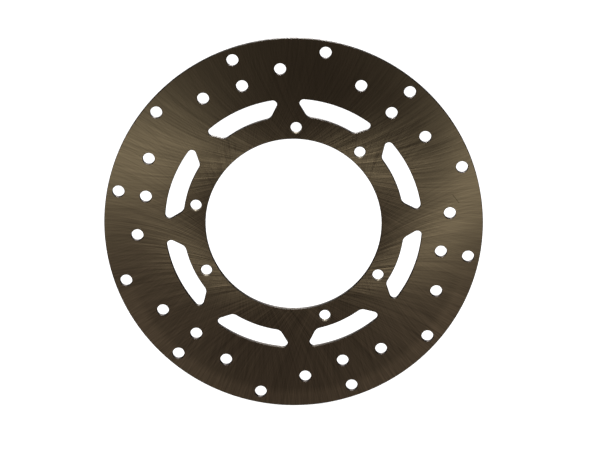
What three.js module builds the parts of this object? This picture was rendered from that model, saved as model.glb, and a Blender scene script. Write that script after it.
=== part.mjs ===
// A one-piece brake disc for a motorcycle's front wheel, cut from a single flat steel plate.
//
// Millimetres, +Z up. The disc stands as it does on the bike, with the wheel's axle along Y.
// The origin is the centre of the face that sits on the wheel hub. The outer face looks along -Y.
// Angles run anticlockwise as seen from outside the wheel, from the spoke that points along +X.

import * as THREE from 'three';

const OUTER_DIAMETER = 280;
const BORE_DIAMETER = 130;
const PLATE_THICKNESS = 4.5;

// Six bolts hold the disc to the hub, as three pairs spread evenly round the bolt circle.
const BOLT_CIRCLE_DIAMETER = 147;
const BOLT_HOLE_DIAMETER = 8.2;
const BOLT_PAIR_COUNT = 3;
const FIRST_BOLT_PAIR_ANGLE = degrees(66.1);
const BOLT_PAIR_HALF_SPREAD = degrees(20);

// Eight slots separate the mounting ring from the friction band and leave eight spokes.
const SLOT_COUNT = 8;
const FIRST_SLOT_ANGLE = degrees(22.5);
const SLOT_OUTER_RADIUS = 95;
const SLOT_INNER_RADIUS = 81.8;
const SLOT_OUTER_CORNER_RADIUS = 3.2;
const SLOT_INNER_CORNER_RADIUS = 5.6;
// A slot's two end walls, drawn on inwards, meet on its centre line at the edge of the bore.
const SLOT_WALL_APEX_RADIUS = BORE_DIAMETER / 2;
const SLOT_WALL_ANGLE = degrees(51.4);

// Vent holes stand at stations round the friction band. The stations repeat in fours:
// two holes across the band, one hole low in the band, one near the rim, one high in the band.
const VENT_HOLE_DIAMETER = 8.8;
const VENT_STATION_COUNT = 24;
const FIRST_VENT_ANGLE = degrees(166.6);
const VENT_STATION_PITCH = degrees(15.04);
const VENT_RADII_BY_STATION = [[131.5, 111], [115.8], [131.5], [117.5]];

// How far a flat facet may lie inside the true arc that it stands for.
const CHORD_ERROR = 0.02;

function degrees(angle) {
  return THREE.MathUtils.degToRad(angle);
}

function polar(radius, angle) {
  return new THREE.Vector2(radius * Math.cos(angle), radius * Math.sin(angle));
}

// Points along an arc from one angle to another, both ends included.
function arc(centre, radius, from, to) {
  const facetAngle = 2 * Math.acos(1 - CHORD_ERROR / radius);
  const facetCount = 4 * Math.ceil(Math.abs(to - from) / facetAngle / 4);
  const points = [];
  for (let i = 0; i <= facetCount; i += 1) {
    const angle = from + ((to - from) * i) / facetCount;
    points.push(polar(radius, angle).add(centre));
  }
  return points;
}

function circle(centre, diameter) {
  return arc(centre, diameter / 2, 0, 2 * Math.PI).slice(0, -1);
}

function rotated(points, angle) {
  const centre = new THREE.Vector2();
  return points.map((point) => point.clone().rotateAround(centre, angle));
}

// The centre of the round corner between a slot's end wall and an arc about the disc's centre.
// The corner's centre lies centreRadius from the disc's centre and cornerRadius inside the wall.
function slotCornerCentre(centreRadius, cornerRadius) {
  const alongWall = polar(1, SLOT_WALL_ANGLE);
  const outOfSlot = polar(1, SLOT_WALL_ANGLE + Math.PI / 2);
  const start = new THREE.Vector2(SLOT_WALL_APEX_RADIUS, 0).addScaledVector(outOfSlot, -cornerRadius);
  const towards = start.dot(alongWall);
  const distance = -towards + Math.sqrt(towards ** 2 - start.lengthSq() + centreRadius ** 2);
  return start.addScaledVector(alongWall, distance);
}

// One slot about the X axis: a curved strip with slanting ends and round corners.
function slotOutline() {
  const centre = new THREE.Vector2();
  const outer = slotCornerCentre(SLOT_OUTER_RADIUS - SLOT_OUTER_CORNER_RADIUS, SLOT_OUTER_CORNER_RADIUS);
  const inner = slotCornerCentre(SLOT_INNER_RADIUS + SLOT_INNER_CORNER_RADIUS, SLOT_INNER_CORNER_RADIUS);
  const wallNormal = SLOT_WALL_ANGLE + Math.PI / 2;
  const upperHalf = [
    ...arc(centre, SLOT_OUTER_RADIUS, 0, outer.angle()),
    ...arc(outer, SLOT_OUTER_CORNER_RADIUS, outer.angle(), wallNormal).slice(1),
    ...arc(inner, SLOT_INNER_CORNER_RADIUS, wallNormal, inner.angle() + Math.PI),
    ...arc(centre, SLOT_INNER_RADIUS, inner.angle(), 0).slice(1),
  ];
  const lowerHalf = upperHalf.slice(1, -1).map((point) => new THREE.Vector2(point.x, -point.y));
  return [...upperHalf, ...lowerHalf.reverse()];
}

function slots() {
  const outline = slotOutline();
  const outlines = [];
  for (let i = 0; i < SLOT_COUNT; i += 1) {
    outlines.push(rotated(outline, FIRST_SLOT_ANGLE + (i * 2 * Math.PI) / SLOT_COUNT));
  }
  return outlines;
}

function boltHoles() {
  const outlines = [];
  for (let pair = 0; pair < BOLT_PAIR_COUNT; pair += 1) {
    const middle = FIRST_BOLT_PAIR_ANGLE + (pair * 2 * Math.PI) / BOLT_PAIR_COUNT;
    for (const side of [-1, 1]) {
      const centre = polar(BOLT_CIRCLE_DIAMETER / 2, middle + side * BOLT_PAIR_HALF_SPREAD);
      outlines.push(circle(centre, BOLT_HOLE_DIAMETER));
    }
  }
  return outlines;
}

function ventHoles() {
  const outlines = [];
  for (let station = 0; station < VENT_STATION_COUNT; station += 1) {
    const angle = FIRST_VENT_ANGLE + station * VENT_STATION_PITCH;
    for (const radius of VENT_RADII_BY_STATION[station % VENT_RADII_BY_STATION.length]) {
      outlines.push(circle(polar(radius, angle), VENT_HOLE_DIAMETER));
    }
  }
  return outlines;
}

function brakeDisc() {
  const centre = new THREE.Vector2();
  const face = new THREE.Shape(circle(centre, OUTER_DIAMETER));
  const cutOuts = [circle(centre, BORE_DIAMETER), ...boltHoles(), ...slots(), ...ventHoles()];
  face.holes = cutOuts.map((outline) => new THREE.Path(outline));

  const plate = new THREE.ExtrudeGeometry(face, { depth: PLATE_THICKNESS, bevelEnabled: false });
  const groundSteel = new THREE.MeshStandardMaterial({ color: 0x5a4e42, roughness: 0.38, metalness: 1 });
  const disc = new THREE.Mesh(plate, groundSteel);
  disc.name = 'brake_disc';
  // Stand the plate up: what was drawn as up stays up along Z, and the extrusion runs to -Y.
  disc.rotation.x = Math.PI / 2;
  return disc;
}

const model = new THREE.Group();
model.add(brakeDisc());

export default model;
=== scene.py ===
"""The looks of a one-piece motorcycle brake disc.

A fine mesh with broken edges takes the place of the CAD disc. Its faces are ground steel and its
walls are cut steel, and the disc stands on a pale floor in studio light.
"""

import math

import bmesh
import bpy
from mathutils import Matrix, Vector
from mathutils.geometry import delaunay_2d_cdt


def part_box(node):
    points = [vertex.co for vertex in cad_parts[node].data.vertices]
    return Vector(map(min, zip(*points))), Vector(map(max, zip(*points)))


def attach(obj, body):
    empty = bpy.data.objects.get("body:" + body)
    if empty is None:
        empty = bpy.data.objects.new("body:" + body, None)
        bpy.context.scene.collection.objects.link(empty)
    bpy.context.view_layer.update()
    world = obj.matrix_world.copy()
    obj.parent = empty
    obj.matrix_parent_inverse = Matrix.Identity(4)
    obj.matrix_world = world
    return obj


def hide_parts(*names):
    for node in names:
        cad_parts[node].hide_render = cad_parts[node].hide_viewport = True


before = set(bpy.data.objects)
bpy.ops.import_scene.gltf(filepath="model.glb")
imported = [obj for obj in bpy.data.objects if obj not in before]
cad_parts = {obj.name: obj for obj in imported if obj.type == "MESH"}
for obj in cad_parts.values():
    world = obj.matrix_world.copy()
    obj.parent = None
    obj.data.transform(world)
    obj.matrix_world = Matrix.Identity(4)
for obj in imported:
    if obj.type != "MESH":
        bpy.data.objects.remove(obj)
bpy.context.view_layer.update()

# ---------------------------------------------------------------------------------------------
# Sizes, in metres. The disc stands upright: its axle lies along Y and its outer face looks to -Y.
# ---------------------------------------------------------------------------------------------

DISC_LOW, DISC_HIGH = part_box("brake_disc")
RADIUS = (DISC_HIGH.x - DISC_LOW.x) / 2
OUTER_FACE = DISC_LOW.y
HUB_FACE = DISC_HIGH.y

# How far each kind of edge is broken, and how many flats make the small round of a broken edge.
RIM_ROUND = 0.0003
SLOT_ROUND = 0.0003
VENT_ROUND = 0.0002
BOLT_HOLE_CHAMFER = 0.0004
ROUND_STEPS = 3
CHAMFER_STEPS = 1

# An outline is told from the others by its mean radius.
LARGEST_BOLT_HOLE_RADIUS = 0.00425
LARGEST_VENT_RADIUS = 0.01
LARGEST_SLOT_RADIUS = 0.3 * RADIUS

# How uneven a circle may be, as a share of its radius, and the facets that a circle is made of here.
CIRCLE_TOLERANCE = 0.01
FINE_FACET = 0.0012
FEWEST_FACETS = 64

# How far apart the CAD disc's points may be and still be one point, or lie in one face.
MERGE_DISTANCE = 1e-6
FLATNESS = 1e-5

# What Blender's triangulation is asked for: triangles inside the outlines only, with this tolerance.
FILL_INSIDE_OUTLINES = 1
FILL_TOLERANCE = 1e-9

# ---------------------------------------------------------------------------------------------
# The steel's looks
# ---------------------------------------------------------------------------------------------

# The grinding marks are arcs left by a wheel of this radius, whose axis stood this far from the disc's.
WHEEL_RADIUS = 0.218
WHEEL_DISTANCE = 0.2655

# The streaks are this wide at the gauge radius, and the offset keeps the two families apart.
STREAK_WIDTH = 0.0008
STREAK_GAUGE_RADIUS = 0.1
STREAK_LENGTH = 0.045
STREAK_DETAIL = 3.0
STREAK_ROUGHNESS = 0.6
FAMILY_OFFSET = 7.0

# How much of the surface shows the first family of arcs, and how strongly the streaks stand out.
# Each pair is a distance from the axle and the value there.
INNER_SHARE = (0.5 * RADIUS, 0.57)
OUTER_SHARE = (0.85 * RADIUS, 0.13)
INNER_CONTRAST = (0.52 * RADIUS, 2.4)
OUTER_CONTRAST = (0.75 * RADIUS, 1.25)
SHARE_CONTRAST = 0.8
SHADE_CONTRAST = 0.6
ROUGHNESS_CONTRAST = -0.08
BUMP_DEPTH = 0.00002

GROUND_COLOUR = (0.35, 0.281, 0.168)
GROUND_ROUGHNESS = 0.539
ANISOTROPY = 0.861

# The band along the lower rim where painted light brightens the colour, as if more light fell on the lower
# side: how far out it starts and is full, and the heights between which its gain fades.
BAND_START = (0.9 * RADIUS, 0.0)
BAND_FULL = (0.94 * RADIUS, 1.0)
BAND_LOW = (-0.45 * RADIUS, 0.3)
BAND_HIGH = (-0.25 * RADIUS, 0.0)

# One short dark scratch on the outer face, beside the rim.
SCRATCH_START = Vector((0.845 * RADIUS, 0, 0.128 * RADIUS))
SCRATCH_END = Vector((0.875 * RADIUS, 0, 0.085 * RADIUS))
SCRATCH_HALF_WIDTH = 0.0003
SCRATCH_SHADE = 0.6

# Each wall's colour and roughness.
WALLS = {
    "rim_wall": ((0.1, 0.083, 0.065), 0.5),
    "slot_wall": ((0.12, 0.10, 0.08), 0.5),
    "vent_wall": ((0.08, 0.06, 0.05), 0.5),
    "bolt_hole_wall": ((0.42, 0.37, 0.28), 0.55),
}

# The marks on every wall: lines that the cutter left through the plate, and stains.
CUT_LINE_STRETCH = (1.0, 0.04, 1.0)
CUT_LINE_SCALE = 2500.0
CUT_LINE_CONTRAST = 0.6
CUT_LINE_RELIEF = 0.6
STAIN_SCALE = 160.0
STAIN_DETAIL = 4.0
STAIN_CONTRAST = 0.8
STAIN_ROUGHNESS = 0.3

# The walls' lips are worn brighter, from this share of the way between mid-plate and lip.
WEAR_START = 0.75
LIP_WEAR = 0.25
WEAR_SMOOTHING = 0.3

# ---------------------------------------------------------------------------------------------
# The studio
# ---------------------------------------------------------------------------------------------

# Name, place, size, power and colour of each light. The face lights stand in front of both faces and
# the side light beyond both sides of the rim. The last two brighten the walls of the holes.
FACE_LIGHTS = [
    ("key", (0.026, 0.69, 0.366), 0.16, 1.1, (1.0, 1.0, 1.0)),
    ("fill", (-0.04, 2.1, -1.18), 0.4, 2.2, (1.0, 0.92, 0.97)),
]
SIDE_LIGHT = ("side", (2.5, 0, 0.5), 1.0, 5.0, (1.0, 1.0, 1.0))
BEHIND_LIGHT = ("behind", (0, 2.0, 0.35), 1.2, 5.0, (1.0, 1.0, 1.0))
ABOVE_LIGHT = ("above", (0, -0.4, 2.0), 1.4, 8.0, (1.0, 0.97, 0.92))

STUDIO_COLOUR = (1.0, 0.35, 0.6, 1)
STUDIO_STRENGTH = 0.01

CAMERA_ELEVATION = 0.2545
CAMERA_AZIMUTH = 0.0077
CAMERA_ROLL = math.radians(2.394)
CAMERA_DISTANCE = 16 * RADIUS
CAMERA_LENS = 181.9
CAMERA_SENSOR = 36
CAMERA_REACH = 100
AIM_RIGHT = 0.0342 * RADIUS
AIM_UP = -0.0012 * RADIUS

FLOOR_SIZE = 30
FLOOR_GREY = 0.9


# ---------------------------------------------------------------------------------------------
# The plate's mesh
# ---------------------------------------------------------------------------------------------


def in_outer_face(face):
    return all(vertex.co.y < OUTER_FACE + FLATNESS for vertex in face.verts)


def outer_face_outlines():
    """The closed outlines of the CAD disc's outer face, each a list of (x, z) points.

    Seen from outside, each runs with the plate on its left: the rim anticlockwise, the cut-outs clockwise.
    """
    cad = bmesh.new()
    cad.from_mesh(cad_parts["brake_disc"].data)
    bmesh.ops.remove_doubles(cad, verts=cad.verts, dist=MERGE_DISTANCE)
    following = {}
    for face in cad.faces:
        for corner in face.loops:
            beyond = corner.link_loop_radial_next.face
            if in_outer_face(face) and not in_outer_face(beyond):
                following[corner.vert] = corner.link_loop_next.vert
    outlines = []
    while following:
        vertex = next(iter(following))
        outline = []
        while vertex in following:
            outline.append(Vector((vertex.co.x, vertex.co.z)))
            vertex = following.pop(vertex)
        outlines.append(outline)
    cad.free()
    return outlines


def signed_area(points):
    pairs = zip(points, points[1:] + points[:1])
    return sum(a.x * b.y - b.x * a.y for a, b in pairs) / 2


def smoothed(points):
    """A faceted circle as a fine one, or any other outline as it is. Also gives its mean radius.

    A circle's facets are a multiple of four, so it has a corner at its full radius on each axis.
    """
    centre = sum(points, Vector((0, 0))) / len(points)
    distances = [(point - centre).length for point in points]
    radius = sum(distances) / len(distances)
    if max(distances) - min(distances) > CIRCLE_TOLERANCE * radius:
        return points, radius
    count = max(FEWEST_FACETS, 4 * round(math.tau * radius / FINE_FACET / 4))
    step = math.copysign(math.tau / count, signed_area(points))
    return [centre + radius * Vector((math.cos(step * i), math.sin(step * i))) for i in range(count)], radius


def kind_of_edge(radius):
    """The material and the size and steps of the broken edge for an outline of this mean radius."""
    if radius < LARGEST_BOLT_HOLE_RADIUS:
        return "bolt_hole_wall", BOLT_HOLE_CHAMFER, CHAMFER_STEPS
    if radius < LARGEST_VENT_RADIUS:
        return "vent_wall", VENT_ROUND, ROUND_STEPS
    if radius < LARGEST_SLOT_RADIUS:
        return "slot_wall", SLOT_ROUND, ROUND_STEPS
    return "rim_wall", RIM_ROUND, ROUND_STEPS


def edge_profile(size, steps):
    """The wall from the outer face to the hub face, as (distance into the material, y) pairs."""
    front = []
    for i in range(steps + 1):
        angle = math.pi / 2 * i / steps
        front.append((size * (1 - math.sin(angle)), size * (1 - math.cos(angle))))
    outer = [(inset, OUTER_FACE + depth) for inset, depth in front]
    hub = [(inset, HUB_FACE - depth) for inset, depth in reversed(front)]
    return outer + hub


def normals_out_of_plate(points):
    """For each point, the unit vector in the plane that points from the plate into the open."""
    normals = []
    for before, after in zip(points[-1:] + points[:-1], points[1:] + points[:1]):
        along = (after - before).normalized()
        normals.append(Vector((along.y, -along.x)))
    return normals


def add_wall(mesh, points, profile, material_index, sharp):
    """Adds one outline's wall and gives its vertices in the outer face and in the hub face.

    Where sharp is true, the profile's corners stay crisp, as on a chamfer.
    """
    normals = normals_out_of_plate(points)
    rings = []
    for inset, y in profile:
        moved = [point - normal * inset for point, normal in zip(points, normals)]
        rings.append([mesh.verts.new((point.x, y, point.y)) for point in moved])
    for outer, inner in zip(rings, rings[1:]):
        for i in range(len(points)):
            face = mesh.faces.new((outer[i], outer[i - 1], inner[i - 1], inner[i]))
            face.material_index = material_index
            face.smooth = True
    for ring in rings:
        for i in range(len(points)):
            mesh.edges.get((ring[i], ring[i - 1])).smooth = not sharp
    return rings[0], rings[-1]


def plate_triangles(outlines):
    """Triangles that fill the rim's outline, which comes first, and leave the other outlines open.

    Each outline is a list of vertices of the outer face. A triangle is three places in their joint list.
    """
    points = [Vector((vertex.co.x, vertex.co.z)) for outline in outlines for vertex in outline]
    loops = []
    start = 0
    for outline in outlines:
        loop = list(range(start, start + len(outline)))
        loops.append(loop if start == 0 else loop[::-1])
        start += len(outline)
    filled = delaunay_2d_cdt(points, [], loops, FILL_INSIDE_OUTLINES, FILL_TOLERANCE, True)
    _, _, triangles, sources, _, enclosing = filled
    order = [places[0] for places in sources]
    in_plate = [triangle for triangle, loop in zip(triangles, enclosing) if list(loop) == [0]]
    return [[order[i] for i in triangle] for triangle in in_plate]


def make_disc(materials):
    names = [material.name for material in materials]
    mesh = bmesh.new()
    outer_rings, hub_rings = [], []
    for rough in sorted(outer_face_outlines(), key=signed_area, reverse=True):
        points, radius = smoothed(rough)
        material, size, steps = kind_of_edge(radius)
        profile = edge_profile(size, steps)
        sharp = steps == CHAMFER_STEPS
        outer_ring, hub_ring = add_wall(mesh, points, profile, names.index(material), sharp)
        outer_rings.append(outer_ring)
        hub_rings.append(hub_ring)
    outer_vertices = [vertex for ring in outer_rings for vertex in ring]
    hub_vertices = [vertex for ring in hub_rings for vertex in ring]
    for a, b, c in plate_triangles(outer_rings):
        mesh.faces.new((outer_vertices[a], outer_vertices[b], outer_vertices[c]))
        mesh.faces.new((hub_vertices[c], hub_vertices[b], hub_vertices[a]))
    data = bpy.data.meshes.new("ground_disc")
    mesh.to_mesh(data)
    mesh.free()
    for material in materials:
        data.materials.append(material)
    disc = bpy.data.objects.new("ground_disc", data)
    bpy.context.scene.collection.objects.link(disc)
    return disc


# ---------------------------------------------------------------------------------------------
# Materials
# ---------------------------------------------------------------------------------------------


class NodeMaker:
    """Short calls that add the nodes of one material."""

    def __init__(self, name):
        self.material = bpy.data.materials.new(name)
        self.material.use_nodes = True
        self.tree = self.material.node_tree
        self.shader = self.tree.nodes["Principled BSDF"]

    def put(self, socket, value):
        """Links a socket to an input, or writes a plain value there."""
        if isinstance(value, bpy.types.NodeSocket):
            self.tree.links.new(value, socket)
        else:
            socket.default_value = value

    def add(self, kind, inputs, **settings):
        node = self.tree.nodes.new(kind)
        for name, value in settings.items():
            setattr(node, name, value)
        for key, value in inputs.items():
            self.put(node.inputs[key], value)
        return node

    def math(self, operation, *values):
        return self.add("ShaderNodeMath", dict(enumerate(values)), operation=operation).outputs[0]

    def vector(self, operation, *values):
        node = self.add("ShaderNodeVectorMath", {}, operation=operation)
        for socket, value in zip(node.inputs, values):
            self.put(socket, value)
        return node.outputs["Value" if operation in ("LENGTH", "DOT_PRODUCT") else "Vector"]

    def scaled(self, vector, factor):
        node = self.add("ShaderNodeVectorMath", {"Vector": vector, "Scale": factor}, operation="SCALE")
        return node.outputs["Vector"]

    def noise(self, vector, scale, detail=2.0, roughness=0.5):
        """Noise that varies about 0, by up to a half either way."""
        inputs = {"Vector": vector, "Scale": scale, "Detail": detail, "Roughness": roughness}
        return self.math("SUBTRACT", self.add("ShaderNodeTexNoise", inputs).outputs["Fac"], 0.5)

    def between(self, value, low, high):
        """Runs from one (value, result) pair to the other, and stays level beyond them."""
        node = self.add("ShaderNodeMapRange", {"Value": value})
        for end, (where, result) in (("Min", low), ("Max", high)):
            self.put(node.inputs[f"From {end}"], where)
            self.put(node.inputs[f"To {end}"], result)
        return node.outputs["Result"]

    def clamped(self, value):
        return self.add("ShaderNodeClamp", {"Value": value}).outputs["Result"]

    def part(self, vector, axis):
        return self.add("ShaderNodeSeparateXYZ", {"Vector": vector}).outputs[axis]

    def bump(self, height, strength):
        inputs = {"Strength": strength, "Distance": BUMP_DEPTH, "Height": height}
        return self.add("ShaderNodeBump", inputs).outputs[0]

    def finish(self, **inputs):
        """Writes the shader's inputs, named with _ for each space, and gives the material."""
        for name, value in inputs.items():
            self.put(self.shader.inputs[name.replace("_", " ")], value)
        return self.material


def grinding_arcs(nodes, place, turn):
    """One family of grinding arcs, as the direction across them and the height of their streaks.

    place is the point in the disc's plane, and turn is 1 or -1: the two families mirror each other.
    """
    distance = nodes.vector("LENGTH", place)
    squares = nodes.math("MULTIPLY_ADD", distance, distance, WHEEL_DISTANCE**2 - WHEEL_RADIUS**2)
    cosine = nodes.math("DIVIDE", squares, nodes.math("MULTIPLY", distance, 2 * WHEEL_DISTANCE))
    angle = nodes.math("MULTIPLY", nodes.math("ARCCOSINE", cosine), turn)
    towards_wheel = nodes.add(
        "ShaderNodeVectorRotate",
        {"Vector": nodes.vector("NORMALIZE", place), "Axis": (0, -1, 0), "Angle": angle},
    ).outputs["Vector"]
    wheel_centre = nodes.scaled(towards_wheel, WHEEL_DISTANCE)
    across = nodes.vector("NORMALIZE", nodes.vector("SUBTRACT", place, wheel_centre))
    along = nodes.add("ShaderNodeCombineXYZ", {"Y": distance}).outputs[0]
    around = nodes.scaled(towards_wheel, STREAK_GAUGE_RADIUS / STREAK_WIDTH)
    where = nodes.vector("ADD", around, nodes.scaled(along, 1 / STREAK_LENGTH))
    where = nodes.vector("ADD", where, (0, FAMILY_OFFSET * turn, 0))
    return across, nodes.noise(where, 1.0, STREAK_DETAIL, STREAK_ROUGHNESS)


def scratch_shade(nodes, place, flat_place):
    """1 all over the plate, and less inside the scratch on its outer face."""
    way = SCRATCH_END - SCRATCH_START
    from_start = nodes.vector("SUBTRACT", flat_place, SCRATCH_START)
    along = nodes.math("DIVIDE", nodes.vector("DOT_PRODUCT", from_start, way), way.length_squared)
    nearest = nodes.vector("ADD", nodes.scaled(way, nodes.clamped(along)), SCRATCH_START)
    gap = nodes.vector("LENGTH", nodes.vector("SUBTRACT", flat_place, nearest))
    inside = (0.5 * SCRATCH_HALF_WIDTH, SCRATCH_SHADE)
    outside = (1.5 * SCRATCH_HALF_WIDTH, 1.0)
    shade = nodes.between(gap, inside, outside)
    on_hub_side = nodes.math("GREATER_THAN", nodes.part(place, "Y"), (OUTER_FACE + HUB_FACE) / 2)
    return nodes.math("MAXIMUM", shade, on_hub_side)


def lower_rim_painted_light(nodes, flat_place, distance):
    """1 all over the plate, and more in the band along the lower rim, where it paints light into the colour.
    """
    in_band = nodes.between(distance, BAND_START, BAND_FULL)
    low_down = nodes.between(nodes.part(flat_place, "Z"), BAND_LOW, BAND_HIGH)
    return nodes.math("MULTIPLY_ADD", in_band, low_down, 1.0)


def ground_steel():
    """The plate's ground faces: two crossing families of fine arcs, each shining across its own marks."""
    nodes = NodeMaker("ground_steel")
    place = nodes.add("ShaderNodeTexCoord", {}).outputs["Object"]
    flat_place = nodes.vector("MULTIPLY", place, (1, 0, 1))
    distance = nodes.vector("LENGTH", flat_place)
    first_across, first_streaks = grinding_arcs(nodes, flat_place, 1)
    second_across, second_streaks = grinding_arcs(nodes, flat_place, -1)
    contrast = nodes.between(distance, INNER_CONTRAST, OUTER_CONTRAST)
    first_streaks = nodes.math("MULTIPLY", first_streaks, contrast)
    second_streaks = nodes.math("MULTIPLY", second_streaks, contrast)
    difference = nodes.math("SUBTRACT", first_streaks, second_streaks)
    share = nodes.between(distance, INNER_SHARE, OUTER_SHARE)
    share = nodes.clamped(nodes.math("MULTIPLY_ADD", difference, SHARE_CONTRAST, share))
    relief = nodes.math("ADD", first_streaks, second_streaks)
    shade = nodes.math("MULTIPLY_ADD", relief, SHADE_CONTRAST, 1.0)
    shade = nodes.math("MULTIPLY", shade, scratch_shade(nodes, place, flat_place))
    # Painted light: the band along the lower rim is made brighter in the colour.
    shade = nodes.math("MULTIPLY", shade, lower_rim_painted_light(nodes, flat_place, distance))
    inputs = {
        "Base Color": nodes.scaled(GROUND_COLOUR, shade),
        "Metallic": 1.0,
        "Roughness": nodes.math("MULTIPLY_ADD", relief, ROUGHNESS_CONTRAST, GROUND_ROUGHNESS),
        "Anisotropic": ANISOTROPY,
        "Normal": nodes.bump(relief, 1.0),
    }
    second = nodes.shader
    first = nodes.tree.nodes.new("ShaderNodeBsdfPrincipled")
    for shader, across in ((second, second_across), (first, first_across)):
        nodes.put(shader.inputs["Tangent"], across)
        for name, value in inputs.items():
            nodes.put(shader.inputs[name], value)
    mix = nodes.add("ShaderNodeMixShader", {0: share, 1: second.outputs[0], 2: first.outputs[0]})
    nodes.put(nodes.tree.nodes["Material Output"].inputs["Surface"], mix.outputs[0])
    return nodes.material


def cut_steel(name, colour, roughness):
    """A wall left by the cutter: fine lines through the plate, stains, and a lip worn brighter."""
    nodes = NodeMaker(name)
    place = nodes.add("ShaderNodeTexCoord", {}).outputs["Object"]
    lines = nodes.noise(nodes.vector("MULTIPLY", place, CUT_LINE_STRETCH), CUT_LINE_SCALE)
    stains = nodes.noise(place, STAIN_SCALE, STAIN_DETAIL)
    middle = (OUTER_FACE + HUB_FACE) / 2
    half_thickness = HUB_FACE - middle
    off_middle = nodes.math("ABSOLUTE", nodes.math("SUBTRACT", nodes.part(place, "Y"), middle))
    wear = nodes.between(off_middle, (WEAR_START * half_thickness, 0.0), (half_thickness, LIP_WEAR))
    shade = nodes.math("MULTIPLY_ADD", lines, CUT_LINE_CONTRAST, wear)
    shade = nodes.math("MULTIPLY_ADD", stains, STAIN_CONTRAST, shade)
    rough = nodes.math("MULTIPLY_ADD", stains, STAIN_ROUGHNESS, roughness)
    return nodes.finish(
        Base_Color=nodes.scaled(colour, nodes.math("ADD", shade, 1.0)),
        Metallic=1.0,
        Roughness=nodes.math("SUBTRACT", rough, nodes.math("MULTIPLY", wear, WEAR_SMOOTHING)),
        Normal=nodes.bump(lines, CUT_LINE_RELIEF),
    )


# ---------------------------------------------------------------------------------------------
# The stage: floor, light and camera
# ---------------------------------------------------------------------------------------------


def make_floor():
    nodes = NodeMaker("pale_floor")
    material = nodes.finish(
        Base_Color=(FLOOR_GREY, FLOOR_GREY, FLOOR_GREY, 1),
        Roughness=1.0,
        Emission_Color=(1, 1, 1, 1),
        Emission_Strength=1.0,
    )
    bpy.ops.mesh.primitive_plane_add(size=FLOOR_SIZE, location=(0, 0, DISC_LOW.z))
    floor = bpy.context.object
    floor.name = "floor"
    floor.data.materials.append(material)
    floor.visible_glossy = False
    floor.visible_shadow = False


def make_area_light(name, place, size, power, colour, mirror):
    """A round light that faces the middle of the disc and isn't seen itself.

    mirror holds 1 or -1 for each axis, and -1 puts the light on the other side along that axis.
    """
    data = bpy.data.lights.new(name, "AREA")
    data.shape = "DISK"
    data.size = size
    data.energy = power
    data.color = colour
    light = bpy.data.objects.new(name, data)
    light.location = Vector(place) * mirror
    light.rotation_euler = (-light.location).to_track_quat("-Z", "Y").to_euler()
    light.visible_camera = False
    bpy.context.scene.collection.objects.link(light)


def make_lights():
    for side in (-1, 1):
        for light in FACE_LIGHTS:
            make_area_light(*light, Vector((1, side, 1)))
        make_area_light(*SIDE_LIGHT, Vector((side, 1, 1)))
    make_area_light(*BEHIND_LIGHT, Vector((1, 1, 1)))
    make_area_light(*ABOVE_LIGHT, Vector((1, 1, 1)))


def make_world():
    """A dim studio to light the disc, which the camera sees as white as the floor."""
    world = bpy.data.worlds.new("studio")
    world.use_nodes = True
    nodes = world.node_tree.nodes
    links = world.node_tree.links
    seen = nodes.new("ShaderNodeBackground")
    seen.inputs["Color"].default_value = (1, 1, 1, 1)
    unseen = nodes["Background"]
    unseen.inputs["Color"].default_value = STUDIO_COLOUR
    unseen.inputs["Strength"].default_value = STUDIO_STRENGTH
    mix = nodes.new("ShaderNodeMixShader")
    links.new(nodes.new("ShaderNodeLightPath").outputs["Is Camera Ray"], mix.inputs["Fac"])
    links.new(unseen.outputs["Background"], mix.inputs[1])
    links.new(seen.outputs["Background"], mix.inputs[2])
    links.new(mix.outputs["Shader"], nodes["World Output"].inputs["Surface"])
    bpy.context.scene.world = world


def make_camera():
    data = bpy.data.cameras.new("camera")
    data.lens = CAMERA_LENS
    data.sensor_width = CAMERA_SENSOR
    data.clip_end = CAMERA_REACH
    camera = bpy.data.objects.new("camera", data)
    camera.matrix_world = (
        Matrix.Translation((0, OUTER_FACE, 0))
        @ Matrix.Rotation(math.pi / 2, 4, "X")
        @ Matrix.Rotation(-CAMERA_ROLL, 4, "Z")
        @ Matrix.Rotation(CAMERA_AZIMUTH, 4, "Y")
        @ Matrix.Rotation(-CAMERA_ELEVATION, 4, "X")
        @ Matrix.Translation((AIM_RIGHT, AIM_UP, CAMERA_DISTANCE))
    )
    bpy.context.scene.collection.objects.link(camera)
    bpy.context.scene.camera = camera


materials = [ground_steel()]
for wall, (wall_colour, wall_roughness) in WALLS.items():
    materials.append(cut_steel(wall, wall_colour, wall_roughness))
disc = make_disc(materials)
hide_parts("brake_disc")
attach(disc, "root")

make_floor()
make_world()
make_lights()
make_camera()
bpy.context.scene.view_settings.view_transform = "Standard"
